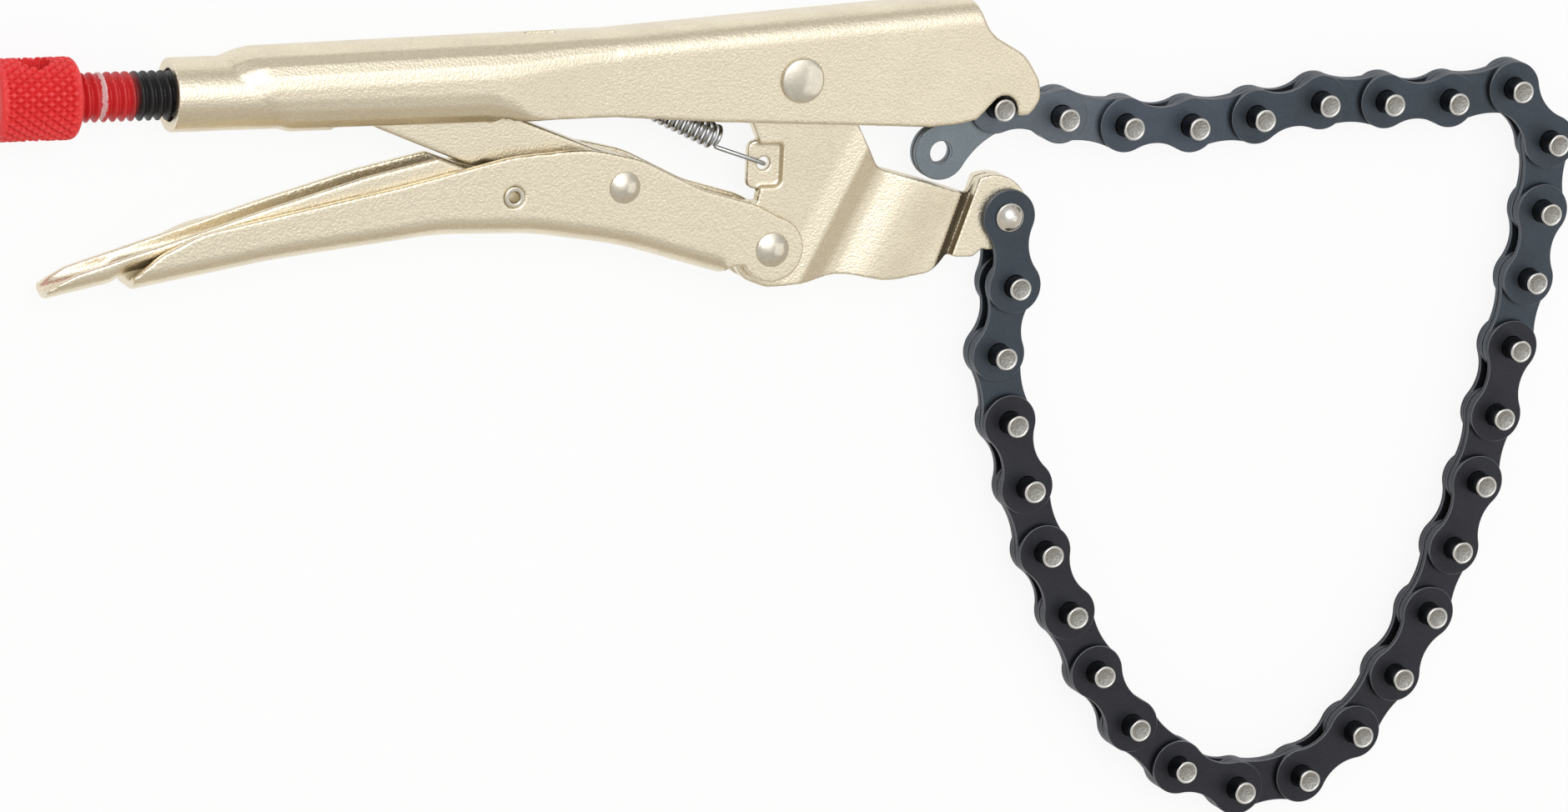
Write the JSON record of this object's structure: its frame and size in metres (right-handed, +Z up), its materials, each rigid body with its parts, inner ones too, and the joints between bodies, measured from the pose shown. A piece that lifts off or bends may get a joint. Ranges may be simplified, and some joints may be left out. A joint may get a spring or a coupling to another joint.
{
  "type": "locking chain pliers",
  "caption": "Locking-toggle hand tool whose jaw carries a plate chain that wraps round work and hooks by a pin into the nose; a knob screw sets the grip.",
  "frame": {"origin": "centre of the footprint at the surface on which the tool lies on its side", "axes": "+X along the adjusting screw toward the chain, +Y from the lever toward the fixed handle, +Z up out of the surface"},
  "size_m": [0.372, 0.1899, 0.0178],
  "materials": {
    "plated_sheet": "satin nickel plate with a fine grain",
    "rivet": "polished nickel",
    "screw_paint": "red paint on steel",
    "chain_oxide": "blue-black oxide",
    "spring_wire": "bright drawn wire"
  },
  "bodies": {
    "handle": {"fixed_handle": "plated_sheet", "main_rivet": "rivet", "return_spring": "spring_wire"},
    "screw": {"adjusting_screw": "screw_paint"},
    "jaw": {"jaw_near": "plated_sheet", "jaw_far": "plated_sheet", "chain_rivet": "rivet"},
    "lever": {"lever_handle": "plated_sheet", "lever_rivet": "rivet", "toggle_rivet": "rivet", "release_pin": "rivet"},
    "link": {"toggle_link": "plated_sheet"},
    "release": {"release_lever": "plated_sheet"},
    "anchor_link": {"anchor_link": "chain_oxide"},
    "outer_link_01": {"outer_link_01": "chain_oxide"},
    "outer_link_02": {"outer_link_02": "chain_oxide"},
    "outer_link_03": {"outer_link_03": "chain_oxide"},
    "outer_link_04": {"outer_link_04": "chain_oxide"},
    "outer_link_05": {"outer_link_05": "chain_oxide"},
    "outer_link_06": {"outer_link_06": "chain_oxide"},
    "outer_link_07": {"outer_link_07": "chain_oxide"},
    "outer_link_08": {"outer_link_08": "chain_oxide"},
    "outer_link_09": {"outer_link_09": "chain_oxide"},
    "outer_link_10": {"outer_link_10": "chain_oxide"},
    "outer_link_11": {"outer_link_11": "chain_oxide"},
    "outer_link_12": {"outer_link_12": "chain_oxide"},
    "outer_link_13": {"outer_link_13": "chain_oxide"},
    "outer_link_14": {"outer_link_14": "chain_oxide"},
    "outer_link_15": {"outer_link_15": "chain_oxide"},
    "inner_link_01": {"inner_link_01": "chain_oxide"},
    "inner_link_02": {"inner_link_02": "chain_oxide"},
    "inner_link_03": {"inner_link_03": "chain_oxide"},
    "inner_link_04": {"inner_link_04": "chain_oxide"},
    "inner_link_05": {"inner_link_05": "chain_oxide"},
    "inner_link_06": {"inner_link_06": "chain_oxide"},
    "inner_link_07": {"inner_link_07": "chain_oxide"},
    "inner_link_08": {"inner_link_08": "chain_oxide"},
    "inner_link_09": {"inner_link_09": "chain_oxide"},
    "inner_link_10": {"inner_link_10": "chain_oxide"},
    "inner_link_11": {"inner_link_11": "chain_oxide"},
    "inner_link_12": {"inner_link_12": "chain_oxide"},
    "inner_link_13": {"inner_link_13": "chain_oxide"},
    "inner_link_14": {"inner_link_14": "chain_oxide"},
    "inner_link_15": {"inner_link_15": "chain_oxide"}
  },
  "joints": [
    {"name": "lever_swing", "type": "hinge", "parent": "jaw", "child": "lever", "pos_m": [-0.00931, 0.0409, 0.0089], "axis": [0, 0, 1], "range_deg": [0, 28]},
    {"name": "jaw_swing", "type": "hinge", "parent": "handle", "child": "jaw", "pos_m": [-0.00411, 0.0784, 0.0089], "axis": [0, 0, 1], "range_deg": [-5.6, 0], "deforming": ["return_spring"]},
    {"name": "toggle_swing", "type": "hinge", "parent": "lever", "child": "link", "pos_m": [-0.0443, 0.056, 0.0089], "axis": [0, 0, 1], "range_deg": [-36.4, 0]},
    {"name": "release_swing", "type": "hinge", "parent": "lever", "child": "release", "pos_m": [-0.06971, 0.0548, 0.0089], "axis": [0, 0, 1], "range_deg": [-7, 0]},
    {"name": "screw_travel", "type": "slide", "parent": "handle", "child": "screw", "axis": [-1, 0, 0], "range_m": [0, 0.012]},
    {"name": "chain_anchor", "type": "hinge", "parent": "jaw", "child": "anchor_link", "pos_m": [0.0477, 0.0455, 0.0089], "axis": [0, 0, 1], "range_deg": [-15, 0]},
    {"name": "chain_pin_01", "type": "hinge", "parent": "anchor_link", "child": "outer_link_01", "pos_m": [0.04989, 0.02978, 0.0089], "axis": [0, 0, 1], "range_deg": [0, 18]},
    {"name": "chain_pin_02", "type": "hinge", "parent": "outer_link_01", "child": "inner_link_01", "pos_m": [0.0474, 0.0141, 0.0089], "axis": [0, 0, 1], "range_deg": [0, 13]},
    {"name": "chain_pin_03", "type": "hinge", "parent": "inner_link_01", "child": "outer_link_02", "pos_m": [0.05096, -0.00137, 0.0089], "axis": [0, 0, 1], "range_deg": [0, 3]},
    {"name": "chain_pin_04", "type": "hinge", "parent": "outer_link_02", "child": "inner_link_02", "pos_m": [0.05586, -0.01647, 0.0089], "axis": [0, 0, 1], "range_deg": [-8, 0]},
    {"name": "chain_pin_05", "type": "hinge", "parent": "inner_link_02", "child": "outer_link_03", "pos_m": [0.06102, -0.03148, 0.0089], "axis": [0, 0, 1], "range_deg": [-16, 0]},
    {"name": "chain_pin_06", "type": "hinge", "parent": "outer_link_03", "child": "inner_link_03", "pos_m": [0.06772, -0.04587, 0.0089], "axis": [0, 0, 1], "range_deg": [-16, 0]},
    {"name": "chain_pin_07", "type": "hinge", "parent": "inner_link_03", "child": "outer_link_04", "pos_m": [0.07516, -0.0599, 0.0089], "axis": [0, 0, 1], "range_deg": [-8, 0]},
    {"name": "chain_pin_08", "type": "hinge", "parent": "outer_link_04", "child": "inner_link_04", "pos_m": [0.08448, -0.07275, 0.0089], "axis": [0, 0, 1], "range_deg": [0, 4]},
    {"name": "chain_pin_09", "type": "hinge", "parent": "inner_link_04", "child": "outer_link_05", "pos_m": [0.09646, -0.08317, 0.0089], "axis": [0, 0, 1], "range_deg": [0, 14]},
    {"name": "chain_pin_10", "type": "hinge", "parent": "outer_link_05", "child": "inner_link_05", "pos_m": [0.11127, -0.08887, 0.0089], "axis": [0, 0, 1], "range_deg": [0, 18]},
    {"name": "chain_pin_11", "type": "hinge", "parent": "inner_link_05", "child": "outer_link_06", "pos_m": [0.12703, -0.08694, 0.0089], "axis": [0, 0, 1], "range_deg": [0, 13]},
    {"name": "chain_pin_12", "type": "hinge", "parent": "outer_link_06", "child": "inner_link_06", "pos_m": [0.13972, -0.0774, 0.0089], "axis": [0, 0, 1], "range_deg": [0, 3]},
    {"name": "chain_pin_13", "type": "hinge", "parent": "inner_link_06", "child": "outer_link_07", "pos_m": [0.14906, -0.06456, 0.0089], "axis": [0, 0, 1], "range_deg": [-8, 0]},
    {"name": "chain_pin_14", "type": "hinge", "parent": "outer_link_07", "child": "inner_link_07", "pos_m": [0.15652, -0.05055, 0.0089], "axis": [0, 0, 1], "range_deg": [-16, 0]},
    {"name": "chain_pin_15", "type": "hinge", "parent": "inner_link_07", "child": "outer_link_08", "pos_m": [0.16196, -0.03563, 0.0089], "axis": [0, 0, 1], "range_deg": [-16, 0]},
    {"name": "chain_pin_16", "type": "hinge", "parent": "outer_link_08", "child": "inner_link_08", "pos_m": [0.16687, -0.02054, 0.0089], "axis": [0, 0, 1], "range_deg": [-8, 0]},
    {"name": "chain_pin_17", "type": "hinge", "parent": "inner_link_08", "child": "outer_link_09", "pos_m": [0.17045, -0.00507, 0.0089], "axis": [0, 0, 1], "range_deg": [0, 4]},
    {"name": "chain_pin_18", "type": "hinge", "parent": "outer_link_09", "child": "inner_link_09", "pos_m": [0.17349, 0.01051, 0.0089], "axis": [0, 0, 1], "range_deg": [0, 14]},
    {"name": "chain_pin_19", "type": "hinge", "parent": "inner_link_09", "child": "outer_link_10", "pos_m": [0.17652, 0.02609, 0.0089], "axis": [0, 0, 1], "range_deg": [0, 18]},
    {"name": "chain_pin_20", "type": "hinge", "parent": "outer_link_10", "child": "inner_link_10", "pos_m": [0.17902, 0.04177, 0.0089], "axis": [0, 0, 1], "range_deg": [0, 13]},
    {"name": "chain_pin_21", "type": "hinge", "parent": "inner_link_10", "child": "outer_link_11", "pos_m": [0.17985, 0.05762, 0.0089], "axis": [0, 0, 1], "range_deg": [0, 3]},
    {"name": "chain_pin_22", "type": "hinge", "parent": "outer_link_11", "child": "inner_link_11", "pos_m": [0.17009, 0.07014, 0.0089], "axis": [0, 0, 1], "range_deg": [0, 33]},
    {"name": "chain_pin_23", "type": "hinge", "parent": "inner_link_11", "child": "outer_link_12", "pos_m": [0.15437, 0.06794, 0.0089], "axis": [0, 0, 1], "range_deg": [0, 32]},
    {"name": "chain_pin_24", "type": "hinge", "parent": "outer_link_12", "child": "inner_link_12", "pos_m": [0.13849, 0.06822, 0.0089], "axis": [0, 0, 1], "range_deg": [-35, 0]},
    {"name": "chain_pin_25", "type": "hinge", "parent": "inner_link_12", "child": "outer_link_13", "pos_m": [0.12262, 0.06851, 0.0089], "axis": [0, 0, 1], "range_deg": [-38, 0]},
    {"name": "chain_pin_26", "type": "hinge", "parent": "outer_link_13", "child": "inner_link_13", "pos_m": [0.10699, 0.06576, 0.0089], "axis": [0, 0, 1], "range_deg": [-31, 0]},
    {"name": "chain_pin_27", "type": "hinge", "parent": "inner_link_13", "child": "outer_link_14", "pos_m": [0.09117, 0.06438, 0.0089], "axis": [0, 0, 1], "range_deg": [-19, 0]},
    {"name": "chain_pin_28", "type": "hinge", "parent": "outer_link_14", "child": "inner_link_14", "pos_m": [0.07531, 0.06495, 0.0089], "axis": [0, 0, 1], "range_deg": [-34, 0]},
    {"name": "chain_pin_29", "type": "hinge", "parent": "inner_link_14", "child": "outer_link_15", "pos_m": [0.05963, 0.06744, 0.0089], "axis": [0, 0, 1], "range_deg": [-31, 0]},
    {"name": "chain_pin_30", "type": "hinge", "parent": "outer_link_15", "child": "inner_link_15", "pos_m": [0.04399, 0.0702, 0.0089], "axis": [0, 0, 1], "range_deg": [-13, 0]}
  ],
  "couplings": [
    {"joint": "jaw_swing", "follows": "lever_swing", "ratio": -0.2},
    {"joint": "toggle_swing", "follows": "lever_swing", "ratio": -1.3},
    {"joint": "release_swing", "follows": "lever_swing", "ratio": -0.25},
    {"joint": "chain_pin_01", "follows": "chain_anchor", "ratio": -1.2},
    {"joint": "chain_pin_02", "follows": "chain_anchor", "ratio": -0.86667},
    {"joint": "chain_pin_03", "follows": "chain_anchor", "ratio": -0.2},
    {"joint": "chain_pin_04", "follows": "chain_anchor", "ratio": 0.53333},
    {"joint": "chain_pin_05", "follows": "chain_anchor", "ratio": 1.0667},
    {"joint": "chain_pin_06", "follows": "chain_anchor", "ratio": 1.0667},
    {"joint": "chain_pin_07", "follows": "chain_anchor", "ratio": 0.53333},
    {"joint": "chain_pin_08", "follows": "chain_anchor", "ratio": -0.26667},
    {"joint": "chain_pin_09", "follows": "chain_anchor", "ratio": -0.93333},
    {"joint": "chain_pin_10", "follows": "chain_anchor", "ratio": -1.2},
    {"joint": "chain_pin_11", "follows": "chain_anchor", "ratio": -0.86667},
    {"joint": "chain_pin_12", "follows": "chain_anchor", "ratio": -0.2},
    {"joint": "chain_pin_13", "follows": "chain_anchor", "ratio": 0.53333},
    {"joint": "chain_pin_14", "follows": "chain_anchor", "ratio": 1.0667},
    {"joint": "chain_pin_15", "follows": "chain_anchor", "ratio": 1.0667},
    {"joint": "chain_pin_16", "follows": "chain_anchor", "ratio": 0.53333},
    {"joint": "chain_pin_17", "follows": "chain_anchor", "ratio": -0.26667},
    {"joint": "chain_pin_18", "follows": "chain_anchor", "ratio": -0.93333},
    {"joint": "chain_pin_19", "follows": "chain_anchor", "ratio": -1.2},
    {"joint": "chain_pin_20", "follows": "chain_anchor", "ratio": -0.86667},
    {"joint": "chain_pin_21", "follows": "chain_anchor", "ratio": -0.2},
    {"joint": "chain_pin_22", "follows": "chain_anchor", "ratio": -2.2},
    {"joint": "chain_pin_23", "follows": "chain_anchor", "ratio": -2.1333},
    {"joint": "chain_pin_24", "follows": "chain_anchor", "ratio": 2.3333},
    {"joint": "chain_pin_25", "follows": "chain_anchor", "ratio": 2.5333},
    {"joint": "chain_pin_26", "follows": "chain_anchor", "ratio": 2.0667},
    {"joint": "chain_pin_27", "follows": "chain_anchor", "ratio": 1.2667},
    {"joint": "chain_pin_28", "follows": "chain_anchor", "ratio": 2.2667},
    {"joint": "chain_pin_29", "follows": "chain_anchor", "ratio": 2.0667},
    {"joint": "chain_pin_30", "follows": "chain_anchor", "ratio": 0.86667}
  ]
}
